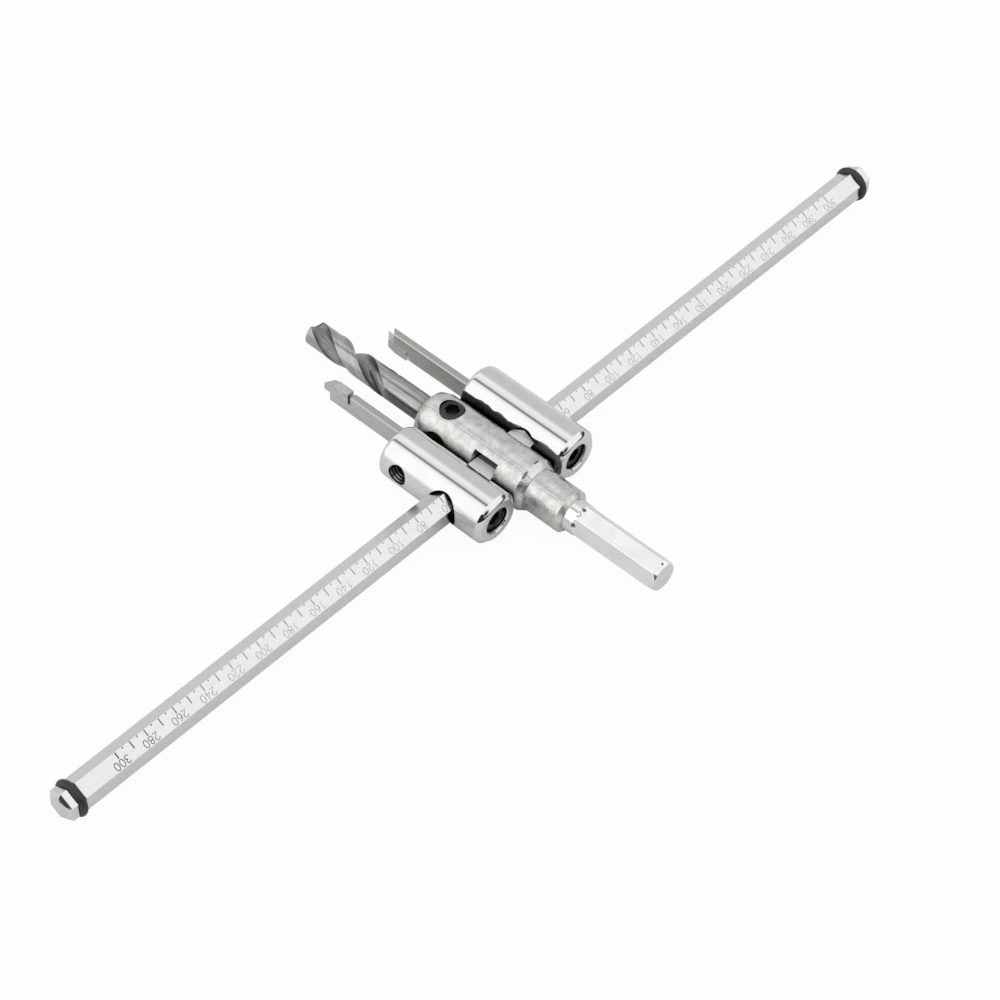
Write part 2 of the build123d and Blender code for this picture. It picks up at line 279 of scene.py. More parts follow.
# Handling marks, shared: wide soft smears, and short thin scratches in two directions
handling, handling_in, handling_out = group_with(
    "handling_marks",
    [("Vector", "NodeSocketVector", None), ("Scale", "NodeSocketFloat", 0.15)],
    [("Smear", "NodeSocketFloat"), ("Scratch", "NodeSocketFloat")],
)
smear = noise(handling, handling_in.outputs["Vector"], handling_in.outputs["Scale"], 4, 0.6)
scratches = []
for turn, thin in (((0.3, 0.2, 0.5), (0.15, 5.0, 5.0)), ((0.1, 0.6, -0.7), (6.0, 0.2, 4.0))):
    values = {"Vector": handling_in.outputs["Vector"], "Rotation": turn, "Scale": thin}
    lines = noise(handling, put(handling, "ShaderNodeMapping", values).outputs["Vector"], 1.0, 2)
    scratches.append(ramp_of(handling, lines, 0.70, 0.76))
handling.links.new(ramp_of(handling, smear, 0.35, 0.75), handling_out.inputs["Smear"])
handling.links.new(
    math_of(handling, "MAXIMUM", *scratches), handling_out.inputs["Scratch"]
)


def worn_edges(tree, radius=0.12):
    """Outputs Normal and Mask of the shared edge wear, with its radius in millimetres."""
    node = put(tree, "ShaderNodeGroup", {}, node_tree=edge_wear)
    node.inputs["Radius"].default_value = radius * mm
    return node.outputs


def handled(tree, vector, scale=0.15):
    """Outputs Smear and Scratch of the shared handling marks."""
    node = put(tree, "ShaderNodeGroup", {}, node_tree=handling)
    tree.links.new(vector, node.inputs["Vector"])
    node.inputs["Scale"].default_value = scale
    return node.outputs


def hidden_film(tree, reach, low=0.12, high=0.62):
    """How much painted shade lies here, darkening narrow valleys and bores where other surfaces crowd
    close, 0 to 1.
    """
    crowded = put(tree, "ShaderNodeAmbientOcclusion", {"Distance": reach * mm}, samples=8)
    return ramp_of(tree, crowded.outputs["AO"], low, high, 1.0, 0.0)


def tapped(tree, across, along, aside, radius, pitch):
    """Height of a cut thread on the wall of a bore, and the mask of that wall.

    across and aside are the two distances from the bore's axis and along is the station on it,
    all in millimetres. The height rises and falls once a pitch, and one pitch lower each turn.
    """
    reach = sum_of(tree, product_of(tree, across, across), product_of(tree, aside, aside))
    off = less_of(tree, math_of(tree, "POWER", reach, 0.5), radius)
    off = math_of(tree, "ABSOLUTE", off)
    turns = product_of(tree, math_of(tree, "ARCTAN2", across, aside), 1 / (2 * math.pi))
    stage = sum_of(tree, product_of(tree, along, 1 / pitch), turns)
    wave = product_of(tree, math_of(tree, "PINGPONG", stage, 0.5), 2.0)
    mask = ramp_of(tree, off, 0.09, 0.12, 1.0, 0.0)
    return product_of(tree, wave, mask), mask


plated, tree, surface = new_material("nickel_plated_casting", (0.68, 0.675, 0.66), 1.0, 0.2)
even = stretched(tree, (1, 1, 1))
worn = worn_edges(tree, 0.2)
smears = handled(tree, even, 0.3)["Smear"]
skin = noise(tree, even, 1.3, 4, 0.62)
patches = noise(tree, even, 0.45, 3, 0.55)
cells = put(tree, "ShaderNodeTexVoronoi", {"Vector": even, "Scale": 1.1, "Randomness": 1.0})
pits = ramp_of(tree, cells.outputs["Distance"], 0.0, 0.2, 1.0, 0.0)
pits = product_of(tree, pits, ramp_of(tree, patches, 0.46, 0.6))
specks = ramp_of(tree, noise(tree, even, 3.4, 3, 0.6), 0.62, 0.7)
# The mould line runs along the barrel, a little to the left of its top
mould_line_x = -3.23
place = put(tree, "ShaderNodeSeparateXYZ", {"Vector": even})
line = less_of(tree, place.outputs["X"], mould_line_x)
wander = product_of(tree, less_of(tree, patches, 0.5), 0.5)
line = math_of(tree, "ABSOLUTE", sum_of(tree, line, wander))
line = ramp_of(tree, line, 0.05, 0.32, 1.0, 0.0)
line = product_of(tree, line, ramp_of(tree, place.outputs["Z"], 5.5, 6.5))
height = sum_of(tree, product_of(tree, skin, 0.5), product_of(tree, pits, -0.8))
height = sum_of(tree, height, product_of(tree, line, -0.9))
colour = blend_of(
    tree, ramp_of(tree, patches, 0.35, 0.65), (0.58, 0.57, 0.55, 1), (0.76, 0.755, 0.74, 1)
)
colour = blend_of(tree, product_of(tree, specks, 0.7), colour, (0.36, 0.345, 0.32, 1))
colour = blend_of(tree, pits, colour, (0.28, 0.265, 0.24, 1))
colour = blend_of(tree, product_of(tree, line, 0.5), colour, (0.36, 0.35, 0.33, 1))
# Two chips along the edge of the rear cone, left by a cold mould
for chip_x, chip_y, half_x, half_y in ((1.5, 47.9, 1.3, 0.35), (-3.7, 47.4, 1.3, 0.45)):
    along_edge = product_of(tree, less_of(tree, place.outputs["X"], chip_x), 1 / half_x)
    behind_edge = product_of(tree, less_of(tree, place.outputs["Y"], chip_y), 1 / half_y)
    along_edge = product_of(tree, along_edge, along_edge)
    behind_edge = product_of(tree, behind_edge, behind_edge)
    off = sum_of(tree, sum_of(tree, along_edge, behind_edge), product_of(tree, skin, 1.6))
    chip = ramp_of(tree, off, 1.9, 1.3)
    chip = product_of(tree, chip, ramp_of(tree, place.outputs["Z"], 4.0, 4.5))
    colour = blend_of(tree, product_of(tree, chip, 0.85), colour, (0.1, 0.095, 0.09, 1))
    height = sum_of(tree, height, product_of(tree, chip, -1.5))
# Painted shade darkens the arbor where the holders, bar and bores crowd it
colour = blend_of(tree, hidden_film(tree, 5.0, 0.12, 0.55), colour, (0.05, 0.047, 0.042, 1))
tree.links.new(colour, surface.inputs["Base Color"])
tree.links.new(
    sum_of(tree, ramp_of(tree, skin, 0.3, 0.7, 0.15, 0.3), product_of(tree, smears, 0.05)),
    surface.inputs["Roughness"],
)
# The two drill screws' holes are tapped; the side one lies across, the other stands up
ahead_top = less_of(tree, place.outputs["Y"], drill_screw_y / mm)
ahead_side = less_of(tree, place.outputs["Y"], side_screw_y / mm)
bore = drill_screw_radius / mm
top_thread = tapped(tree, place.outputs["X"], place.outputs["Z"], ahead_top, bore, coarse_pitch)[0]
side_thread = tapped(tree, place.outputs["Z"], place.outputs["X"], ahead_side, bore, coarse_pitch)[0]
grains = noise(tree, even, 4.5, 3, 0.6)
height = sum_of(tree, height, product_of(tree, grains, 0.4))
cast_normal = bump(tree, height, 0.13, 0.8, worn["Normal"])
cut_normal = bump(tree, sum_of(tree, top_thread, side_thread), 0.3, 1.0, cast_normal)
tree.links.new(cut_normal, surface.inputs["Normal"])

arbor = turned_copy(
    "arbor_body",
    [
        ((0, 0, 0), y_axis, 3.9 * mm, barrel_radius + 0.05 * mm),
        ((0, drill_screw_y, 0), z_axis, drill_screw_radius - 0.05 * mm, drill_screw_radius + 0.05 * mm),
        ((0, side_screw_y, 0), x_axis, drill_screw_radius - 0.05 * mm, drill_screw_radius + 1.0 * mm),
    ],
    rounds=[(nose_start, nose_end, 0.0, 0.93)],
)
settle(arbor, "arbor_body", plated)


# Shank: round bright steel let into the collar, with six flats milled along it for the chuck's
# jaws until only narrow strips of the round are left. Each flat ends in the cutter's hollow. The
# flats lie 0.21 mm deeper than the CAD's, as the photograph shows the strips narrower.
shank_radius = 4.875 * mm
shank_flat = 4.29 * mm
shank_turn = math.radians(17)
shank_end_radius = 4.2 * mm
shank_end_cone = 1.6 * mm
hollow_start = 28.35 * mm
hollow_radius = 0.9 * mm
shank_front = 44.5 * mm


def grid_mesh(name, places, round_rows=False, round_columns=True):
    """Mesh over a grid of places (rows, columns, 3), smooth, joined round where it closes."""
    rows, columns = places.shape[:2]
    ids = np.arange(rows * columns).reshape(rows, columns)
    if round_rows:
        ids = np.vstack([ids, ids[:1]])
    if round_columns:
        ids = np.hstack([ids, ids[:, :1]])
    quads = np.stack([ids[:-1, :-1], ids[:-1, 1:], ids[1:, 1:], ids[1:, :-1]], axis=-1)
    mesh = bpy.data.meshes.new(name)
    mesh.from_pydata(places.reshape(-1, 3).tolist(), [], quads.reshape(-1, 4).tolist())
    mesh.shade_smooth()
    return mesh


def shank_mesh(name):
    """The whole shank as one closed surface.

    A point runs along the axis with the station and round it with the angle. Its distance from
    the axis is the least of three: the round bar's radius, the end cone's radius at that station,
    and the flat's distance divided by the cosine of the angle from the middle of that flat. Past
    the end of a flat its distance grows as the cutter's round edge does.
    """
    sixth = math.pi / 3
    reach = math.acos(shank_flat / shank_radius)
    one = np.concatenate([np.linspace(-reach, reach, 9), np.linspace(reach, sixth - reach, 4)[1:-1]])
    angle = (one[None, :] + sixth * np.arange(6)[:, None]).ravel()
    off_middle = np.tile(np.mod(one + sixth / 2, sixth) - sixth / 2, 6)
    station = np.concatenate(
        [
            [0, 0],
            np.linspace(0.1 * mm, shank_end_cone, 16),
            np.linspace(4 * mm, 28 * mm, 9),
            np.linspace(hollow_start, hollow_start + hollow_radius * 0.96, 16),
            [shank_front, shank_front],
        ]
    )[:, None]
    cone = shank_end_radius + (shank_radius - shank_end_radius) * station / shank_end_cone
    into_hollow = np.clip(station - hollow_start, 0, 0.999 * hollow_radius)
    flat = shank_flat + hollow_radius - np.sqrt(hollow_radius**2 - into_hollow**2)
    radius = np.minimum(np.minimum(cone, shank_radius), flat / np.cos(off_middle)[None, :])
    radius[[0, -1]] = 0
    angle = angle[None, :] + shank_turn
    places = [-radius * np.cos(angle), station + 0 * angle, radius * np.sin(angle)]
    return grid_mesh(name, np.stack(places, axis=-1))


milled, tree, surface = new_material("milled_bright_steel", (0.75, 0.75, 0.735), 1.0, 0.16)
even = stretched(tree, (1, 1, 1))
place_y = put(tree, "ShaderNodeSeparateXYZ", {"Vector": even}).outputs["Y"]
worn = worn_edges(tree, 0.12)
smears = handled(tree, even, 0.2)["Smear"]
feed = noise(tree, stretched(tree, (0.15, 4.0, 0.15)), 1.0, 2)
colour = blend_of(tree, smears, (0.88, 0.88, 0.865, 1), (0.8, 0.8, 0.785, 1))
colour = blend_of(tree, product_of(tree, worn["Mask"], 0.5), colour, (0.88, 0.88, 0.87, 1))
# The end was sawn off and left grey
sawn = ramp_of(tree, sum_of(tree, place_y, product_of(tree, smears, 0.05)), 0.12, 0.06)
colour = blend_of(tree, product_of(tree, sawn, 0.85), colour, (0.74, 0.735, 0.72, 1))
# Painted shade: dark spots and a dark arc where the cutter left the flats, and one more spot at the sawn
# end
for shade_spot_place, shade_spot_size in (
    ((-0.1, 28.75, 4.6), 1.05), ((-4.3, 28.85, 1.65), 1.1), ((0.2, 1.1, 4.75), 0.95)
):
    off = vector_math_of(tree, "DISTANCE", even, shade_spot_place)
    off = sum_of(tree, off, product_of(tree, noise(tree, even, 2.5, 2), 0.9))
    shade_mark = ramp_of(tree, off, shade_spot_size + 0.1, shade_spot_size - 0.1)
    colour = blend_of(tree, product_of(tree, shade_mark, 0.9), colour, (0.05, 0.05, 0.045, 1))
off = vector_math_of(tree, "DISTANCE", even, (-1.95, 29.45, 4.2))
off = math_of(tree, "ABSOLUTE", less_of(tree, off, 0.9))
shade_arc = product_of(tree, ramp_of(tree, off, 0.16, 0.08), ramp_of(tree, place_y, 29.3, 29.1))
colour = blend_of(tree, product_of(tree, shade_arc, 0.85), colour, (0.05, 0.05, 0.045, 1))
tree.links.new(colour, surface.inputs["Base Color"])
tree.links.new(
    sum_of(tree, ramp_of(tree, feed, 0.3, 0.7, 0.12, 0.2), product_of(tree, smears, 0.07)),
    surface.inputs["Roughness"],
)
tree.links.new(bump(tree, feed, 0.004, 0.5, worn["Normal"]), surface.inputs["Normal"])
shank = shown_object("hex_shank_milled", shank_mesh("hex_shank_milled"))
shank.data.set_sharp_from_angle(angle=math.radians(20))
settle(shank, "hex_shank", milled)


# Scale bar: drawn six-sided steel, satin nickel plated, one ridge on top. The flat below the
# ridge on the shank's side has the scale stamped in it, with the numerals under the long marks.
bar_across_flats = 8.4 * mm
bar_y = 60.0 * mm
seat_half_length = 10.1 * mm
seat_floor = 2.6 * mm
scale_tilt = math.radians(60)
flat_normal = np.array([0, -math.cos(scale_tilt), math.sin(scale_tilt)])
flat_climb = np.array([0, math.sin(scale_tilt), math.cos(scale_tilt)])
flat_middle = np.array([0, bar_y, 0]) + flat_normal * bar_across_flats / 2

satin, tree, surface = new_material("satin_nickel_bar", (0.75, 0.745, 0.735), 1.0, 0.2)
even = stretched(tree, (1, 1, 1))
worn = worn_edges(tree, 0.16)
smears = handled(tree, even, 0.12)["Smear"]
drawn = noise(tree, stretched(tree, (0.06, 3.5, 3.5)), 1.0, 3)
mottle = noise(tree, even, 0.9, 4, 0.6)
# The stamped marks' hollows are painted dark as shade, at half strength except toward the far end of the
# left arm
sunk = vector_math_of(tree, "DOT_PRODUCT", even, tuple(flat_normal))
flat_level = float(flat_middle @ flat_normal) / mm
stamped = ramp_of(tree, sunk, flat_level - 0.03, flat_level - 0.09)
side_of_ridge = put(tree, "ShaderNodeSeparateXYZ", {"Vector": even})
on_flat = product_of(
    tree,
    ramp_of(tree, side_of_ridge.outputs["Z"], 2.3, 2.5),
    ramp_of(tree, side_of_ridge.outputs["Y"], 59.98, 59.94),
)
stamped = product_of(tree, stamped, on_flat)
deep_end = ramp_of(tree, side_of_ridge.outputs["X"], -100.0, -145.0, 0.5, 1.0)
stamped = product_of(tree, stamped, deep_end)
colour = blend_of(tree, ramp_of(tree, mottle, 0.3, 0.7), (0.72, 0.715, 0.705, 1), (0.78, 0.775, 0.765, 1))
colour = blend_of(tree, stamped, colour, (0.08, 0.08, 0.08, 1))
# The seat milled for the arbor was left dull; its middle, hidden inside the arbor, is painted dark as
# shade
from_centre = math_of(tree, "ABSOLUTE", side_of_ridge.outputs["X"])
rubbed = product_of(
    tree,
    ramp_of(tree, from_centre, seat_half_length / mm + 0.05, seat_half_length / mm - 0.05),
    ramp_of(tree, side_of_ridge.outputs["Z"], seat_floor / mm - 0.1, seat_floor / mm - 0.01),
)
seat_middle_shade = ramp_of(tree, from_centre, 4.75, 4.55)
colour = blend_of(tree, rubbed, colour, (0.86, 0.85, 0.83, 1))
colour = blend_of(tree, seat_middle_shade, colour, (0.2, 0.19, 0.17, 1))
tree.links.new(colour, surface.inputs["Base Color"])
tree.links.new(less_of(tree, 1.0, rubbed), surface.inputs["Metallic"])
roughness = sum_of(tree, ramp_of(tree, drawn, 0.3, 0.7, 0.16, 0.24), product_of(tree, smears, 0.06))
tree.links.new(
    sum_of(tree, roughness, product_of(tree, rubbed, 0.25)), surface.inputs["Roughness"]
)
grain_height = sum_of(tree, drawn, product_of(tree, mottle, 0.8))
tree.links.new(bump(tree, grain_height, 0.012, 0.5, worn["Normal"]), surface.inputs["Normal"])
# The milled seat in the middle reaches a little past the arbor, almost down to the side flats. Its
# corners lie on the bar's slanted flats, which fall away from the ridge at 30 degrees, and move
# from the CAD seat's length and floor to the longer and deeper ones.
ridge = 4.85 * mm
cad_half_length = 7.0 * mm
cad_floor = 3.05 * mm
seat_moves = []
for arm in (-1, 1):
    for side in (-1, 0, 1):
        ends = []
        for half_length, low in ((cad_half_length, cad_floor), (seat_half_length, seat_floor)):
            height = low if side else ridge
            aside = side * (ridge - height) * math.sqrt(3)
            ends.append((arm * half_length, bar_y + aside, height))
        seat_moves.append(ends)
bar = turned_copy("scale_bar", [((0, bar_y, 0), x_axis, 3.1 * mm, 3.3 * mm)], moves=seat_moves)
settle(bar, "scale_bar", satin)

# Numerals, each drawn as strokes on a cell one unit high. An arc is (centre x, centre y, radius
# across, radius up, first angle, last angle) and a line is a list of points.
digit_strokes = {
    "0": [(0.3, 0.5, 0.3, 0.5, 0, 360)],
    "1": [[(0.12, 0.78), (0.34, 1.0), (0.34, 0.0)]],
    "2": [(0.3, 0.72, 0.29, 0.28, 170, -35), [(0.54, 0.56), (0.02, 0.0), (0.6, 0.0)]],
    "3": [(0.28, 0.75, 0.27, 0.25, 150, -90), (0.28, 0.25, 0.31, 0.25, 90, -150)],
    "4": [[(0.44, 0.0), (0.44, 1.0), (0.0, 0.3), (0.6, 0.3)]],
    "5": [[(0.55, 1.0), (0.1, 1.0), (0.06, 0.55)], (0.28, 0.31, 0.3, 0.31, 130, -150)],
    "6": [(0.3, 0.3, 0.29, 0.3, 0, 360), (0.62, 0.32, 0.61, 0.7, 180, 112)],
    "8": [(0.3, 0.76, 0.23, 0.24, 0, 360), (0.3, 0.27, 0.29, 0.27, 0, 360)],
}
digit_height = 2.1 * mm
digit_pitch = 1.78 * mm
digit_foot = 0.05 * mm
stroke_width = 0.24 * mm
stroke_rise = 0.015 * mm
stroke_sink = 0.05 * mm
numeral_first = 60
numeral_last = 300
numeral_every = 20
scale_zero = 5.67 * mm


def stroke_points(stroke):
    """The points of one stroke: an arc at even angles, or a line's own points."""
    if isinstance(stroke, list):
        return np.array(stroke)
    x, y, across, up, first, last = stroke
    angle = np.radians(np.linspace(first, last, 4 + int(abs(last - first) / 15)))
    return np.stack([x + across * np.cos(angle), y + up * np.sin(angle)], axis=1)


def flat_ribbon(path, width):
    """Left and right edge of a ribbon along a path of points in a plane.

    At each point the edge stands off by half the width, square to the mean of the directions
    of the two runs that meet there.
    """
    run = np.diff(path, axis=0)
    run /= np.linalg.norm(run, axis=1, keepdims=True)
    ahead = np.vstack([run, run[-1:]]) + np.vstack([run[:1], run])
    ahead /= np.linalg.norm(ahead, axis=1, keepdims=True)
    aside = np.stack([-ahead[:, 1], ahead[:, 0]], axis=1) * width / 2
    reach = np.clip((ahead * np.vstack([run, run[-1:]])).sum(axis=1, keepdims=True), 0.6, 1)
    path = path + np.vstack([-run[:1], np.zeros((len(path) - 2, 2)), run[-1:]]) * width * 0.4
    return path + aside / reach, path - aside / reach


def numeral_mesh(arm):
    """Corner places and faces of all numerals of one arm, -1 for the left and 1 for the right.

    Each stroke is a closed flat bar: its ribbon a hair above the flat, and the same ribbon below
    it. The digits read toward -X with their heads away from the ridge, on both arms.
    """
    corners, faces = [], []
    for size in range(numeral_first, numeral_last + 1, numeral_every):
        digits = str(size)
        middle = arm * (size / 2 * mm - scale_zero)
        for order, digit in enumerate(digits):
            start = -(len(digits) - 1) / 2 * digit_pitch + order * digit_pitch
            for stroke in digit_strokes[digit]:
                path = stroke_points(stroke) - np.array([0.3, 0.0])
                left, right = flat_ribbon(path * digit_height, stroke_width)
                count = len(left)
                ring = np.stack([left, right, right, left], axis=1)
                across = middle - (start + ring[..., 0])
                climb = digit_foot - ring[..., 1]
                rise = np.array([stroke_rise, stroke_rise, -stroke_sink, -stroke_sink])
                place = flat_middle + across[..., None] * x_axis + climb[..., None] * flat_climb
                place = place + rise[None, :, None] * flat_normal
                first = sum(len(c) for c in corners)
                corners.append(place.reshape(-1, 3))
                ids = first + np.arange(count * 4).reshape(count, 4)
                for side in range(4):
                    here, there = ids[:, side], ids[:, (side + 1) % 4]
                    faces += np.stack([here[:-1], here[1:], there[1:], there[:-1]], axis=1).tolist()
                faces += [ids[0].tolist(), ids[-1][::-1].tolist()]
    return np.vstack(corners), faces


# The numerals are painted dark grey, painted shade of their stamped strokes, darkest toward the far end
# of the left arm
marked, tree, surface = new_material("stamped_numerals", (0.3, 0.3, 0.295), 1.0, 0.5)
even = stretched(tree, (1, 1, 1))
bitten = noise(tree, even, 5.0, 3)
across_bar = put(tree, "ShaderNodeSeparateXYZ", {"Vector": even})
deep_end = ramp_of(tree, across_bar.outputs["X"], -105.0, -143.0)
colour = blend_of(tree, ramp_of(tree, bitten, 0.3, 0.7), (0.42, 0.42, 0.41, 1), (0.62, 0.62, 0.61, 1))
colour = blend_of(tree, product_of(tree, deep_end, 0.85), colour, (0.05, 0.05, 0.05, 1))
tree.links.new(colour, surface.inputs["Base Color"])
tree.links.new(ramp_of(tree, bitten, 0.3, 0.7, 0.4, 0.6), surface.inputs["Roughness"])
tree.links.new(bump(tree, bitten, 0.02, 0.6), surface.inputs["Normal"])
for arm, name in ((-1, "numerals_left"), (1, "numerals_right")):
    places, faces = numeral_mesh(arm)
    mesh = bpy.data.meshes.new(name)
    mesh.from_pydata(places.tolist(), [], faces)
    mesh.materials.append(marked)
    numerals = shown_object(name, mesh)
    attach(numerals, "tool_body")


# O-rings: black moulded rubber, one pressed into the groove near each end of the bar so that
# the holders can't run off. A faint mould line goes round the outside of each.
ring_station = 159.1 * mm
ring_middle_radius = (6.45 / 2 + 1.2) * mm
ring_half_thickness = 1.2 * mm


def o_ring_mesh(name, station):
    """A ring round the bar: circle of the section carried round the bar's axis.

    The section swells by a fiftieth where its mould line is, at its outermost point.
    """
    turn, section = np.meshgrid(
        np.linspace(0, 2 * np.pi, 96, endpoint=False),
        np.linspace(0, 2 * np.pi, 40, endpoint=False),
        indexing="ij",
    )
    swell = 1 - 0.02 + 0.02 * np.exp(-((np.angle(np.exp(1j * section)) / 0.12) ** 2))
    radius = ring_middle_radius + ring_half_thickness * swell * np.cos(section)
    places = np.stack(
        [
            station + ring_half_thickness * swell * np.sin(section),
            bar_y + radius * np.cos(turn),
            radius * np.sin(turn),
        ],
        axis=-1,
    )
    return grid_mesh(name, places, round_rows=True)


rubber, tree, surface = new_material("black_rubber", (0.018, 0.018, 0.019), 0.0, 0.45)
even = stretched(tree, (1, 1, 1))
smears = handled(tree, even, 0.6)["Smear"]
skin = noise(tree, even, 4.0, 3)
colour = blend_of(tree, smears, (0.014, 0.014, 0.015, 1), (0.045, 0.044, 0.042, 1))
tree.links.new(colour, surface.inputs["Base Color"])
tree.links.new(ramp_of(tree, smears, 0, 1, 0.38, 0.6), surface.inputs["Roughness"])
tree.links.new(bump(tree, skin, 0.02, 0.4), surface.inputs["Normal"])
for node, station in (("o_ring_left", -ring_station), ("o_ring_right", ring_station)):
    ring = shown_object(node + "_rubber", o_ring_mesh(node, station))
    settle(ring, node, rubber)


# Holders: round bar ends, polished and chrome plated until they mirror the lamps. Each has a
# cross bore for the scale bar, a slot for the blade, and two tapped holes for its set screws.
holder_x = 16.35 * mm
holder_radius = 8.0 * mm
holder_rear = 45.5 * mm
holder_front = 83.6 * mm
holder_break = 1.5 * mm
holder_round = 2.0 * mm
bar_screw_radius = 4.05 * mm
blade_screw_radius = 3.05 * mm
blade_screw_y = 76.0 * mm
blade_screw_z = 1.0 * mm
fine_pitch = 1.0

chrome, tree, surface = new_material("mirror_chrome", (0.77, 0.77, 0.765), 1.0, 0.04)
even = stretched(tree, (1, 1, 1))
worn = worn_edges(tree, 0.15)
marks = handled(tree, even, 0.18)
smears = marks["Smear"]
peel = noise(tree, even, 0.35, 2)
colour = blend_of(tree, smears, (0.775, 0.775, 0.77, 1), (0.73, 0.73, 0.72, 1))
# The bar screw's bore behind and the blade screw's bore outside are tapped, and their walls are painted
# dark as shade inside the bores
place = put(tree, "ShaderNodeSeparateXYZ", {"Vector": even})
outer = math_of(tree, "ABSOLUTE", place.outputs["X"])
from_middle = less_of(tree, outer, holder_x / mm)
ahead = less_of(tree, place.outputs["Y"], blade_screw_y / mm)
rear_thread, rear_wall = tapped(
    tree, from_middle, place.outputs["Y"], place.outputs["Z"], bar_screw_radius / mm, coarse_pitch
)
above = less_of(tree, place.outputs["Z"], blade_screw_z / mm)
side_thread, side_wall = tapped(tree, ahead, outer, above, blade_screw_radius / mm, fine_pitch)
behind_bar = ramp_of(tree, place.outputs["Y"], 56.0, 55.9)
thread = sum_of(tree, product_of(tree, rear_thread, behind_bar), side_thread)
wall = math_of(tree, "MAXIMUM", product_of(tree, rear_wall, behind_bar), side_wall)
colour = blend_of(tree, product_of(tree, wall, 0.85), colour, (0.16, 0.157, 0.15, 1))
# Painted shade darkens the holder where the arbor, bar and bores crowd it
colour = blend_of(tree, hidden_film(tree, 5.0, 0.08, 0.45), colour, (0.05, 0.048, 0.045, 1))
# The valley between the arbor and the right holder is painted black, painted shade and dark reflection
# between the two parts. Oil is a guess; it may be shadow alone.
ragged = product_of(tree, less_of(tree, noise(tree, even, 0.22, 2), 0.5), 1.8)
in_valley = ramp_of(tree, sum_of(tree, place.outputs["X"], ragged), 10.12, 10.02)
in_valley = product_of(tree, in_valley, ramp_of(tree, place.outputs["X"], 0.0, 1.0))
valley_shade = product_of(tree, in_valley, hidden_film(tree, 9.0, 0.72, 0.97))
valley_shade = product_of(tree, valley_shade, ramp_of(tree, place.outputs["Y"], 47.0, 60.0, 0.86, 0.98))
colour = blend_of(tree, valley_shade, colour, (0.02, 0.018, 0.016, 1))
tree.links.new(colour, surface.inputs["Base Color"])
dulled = sum_of(tree, product_of(tree, smears, 0.05), product_of(tree, marks["Scratch"], 0.12))
dulled = sum_of(tree, dulled, product_of(tree, math_of(tree, "MAXIMUM", wall, valley_shade), 0.15))
tree.links.new(sum_of(tree, dulled, 0.03), surface.inputs["Roughness"])
plain_normal = bump(tree, peel, 0.006, 0.5, worn["Normal"])
tree.links.new(bump(tree, thread, 0.22, 1.0, plain_normal), surface.inputs["Normal"])
for side, name in ((-1, "holder_left"), (1, "holder_right")):
    middle = side * holder_x
    holder = turned_copy(
        name,
        [
            ((middle, 0, 0), y_axis, 3.9 * mm, holder_radius + 0.05 * mm),
            ((0, bar_y - 0.55 * mm, 0), x_axis, 5.35 * mm, 5.45 * mm),
            ((0, blade_screw_y, blade_screw_z), x_axis, 3.0 * mm, 3.1 * mm),
        ],
        rounds=[
            (holder_front - holder_round, holder_front, 0.0, 1.0),
            (holder_rear, holder_rear + holder_break, -0.85, -0.45),
        ],
    )
    settle(holder, name, chrome)


# Blades: flat tool steel, ground along its length on its sides, with a hard metal tip brazed into a seat
# at the front corner. The notch behind the tip is darkened by painted shade.
ground, tree, surface = new_material("ground_tool_steel", (0.6, 0.59, 0.575), 1.0, 0.3)
even = stretched(tree, (1, 1, 1))
worn = worn_edges(tree, 0.08)
smears = handled(tree, even, 0.2)["Smear"]
ground_lines = noise(tree, stretched(tree, (6.0, 0.25, 6.0)), 1.0, 3)
colour = blend_of(tree, ground_lines, (0.55, 0.54, 0.525, 1), (0.68, 0.67, 0.655, 1))
colour = blend_of(tree, product_of(tree, smears, 0.5), colour, (0.5, 0.48, 0.46, 1))
colour = blend_of(tree, product_of(tree, worn["Mask"], 0.5), colour, (0.42, 0.41, 0.4, 1))
# The side toward the arbor is painted darker and a little brown, painted reflection of the shaded arbor
# and table it faces
place = put(tree, "ShaderNodeSeparateXYZ", {"Vector": even})
facing = put(tree, "ShaderNodeNewGeometry").outputs["True Normal"]
facing = put(tree, "ShaderNodeSeparateXYZ", {"Vector": facing})
inward = product_of(tree, facing.outputs["X"], product_of(tree, place.outputs["X"], -0.1))
inner_side_shade = ramp_of(tree, inward, 1.15, 1.35)
inner_shade_colour = blend_of(tree, smears, (0.44, 0.425, 0.40, 1), (0.36, 0.33, 0.315, 1))
colour = blend_of(tree, product_of(tree, inner_side_shade, 0.85), colour, inner_shade_colour)
# A painted shadow line runs along the top of the inner side, under the bevel
shade_mark = product_of(tree, ramp_of(tree, place.outputs["Z"], 3.55, 3.7), inner_side_shade)
colour = blend_of(tree, product_of(tree, shade_mark, 0.9), colour, (0.06, 0.057, 0.05, 1))
# The top bevel is painted darker than the sides, painted shade standing in for its darker reflection
top_shade = product_of(tree, ramp_of(tree, facing.outputs["Z"], 0.4, 0.55), 0.6)
colour = blend_of(tree, top_shade, colour, (0.38, 0.37, 0.355, 1))
# Painted shade darkens the blade where the holder's slot and the tip's notch crowd it
colour = blend_of(tree, hidden_film(tree, 3.0, 0.1, 0.5), colour, (0.05, 0.045, 0.04, 1))
tree.links.new(colour, surface.inputs["Base Color"])
tree.links.new(ramp_of(tree, ground_lines, 0.3, 0.7, 0.26, 0.38), surface.inputs["Roughness"])
tree.links.new(bump(tree, ground_lines, 0.01, 0.5, worn["Normal"]), surface.inputs["Normal"])

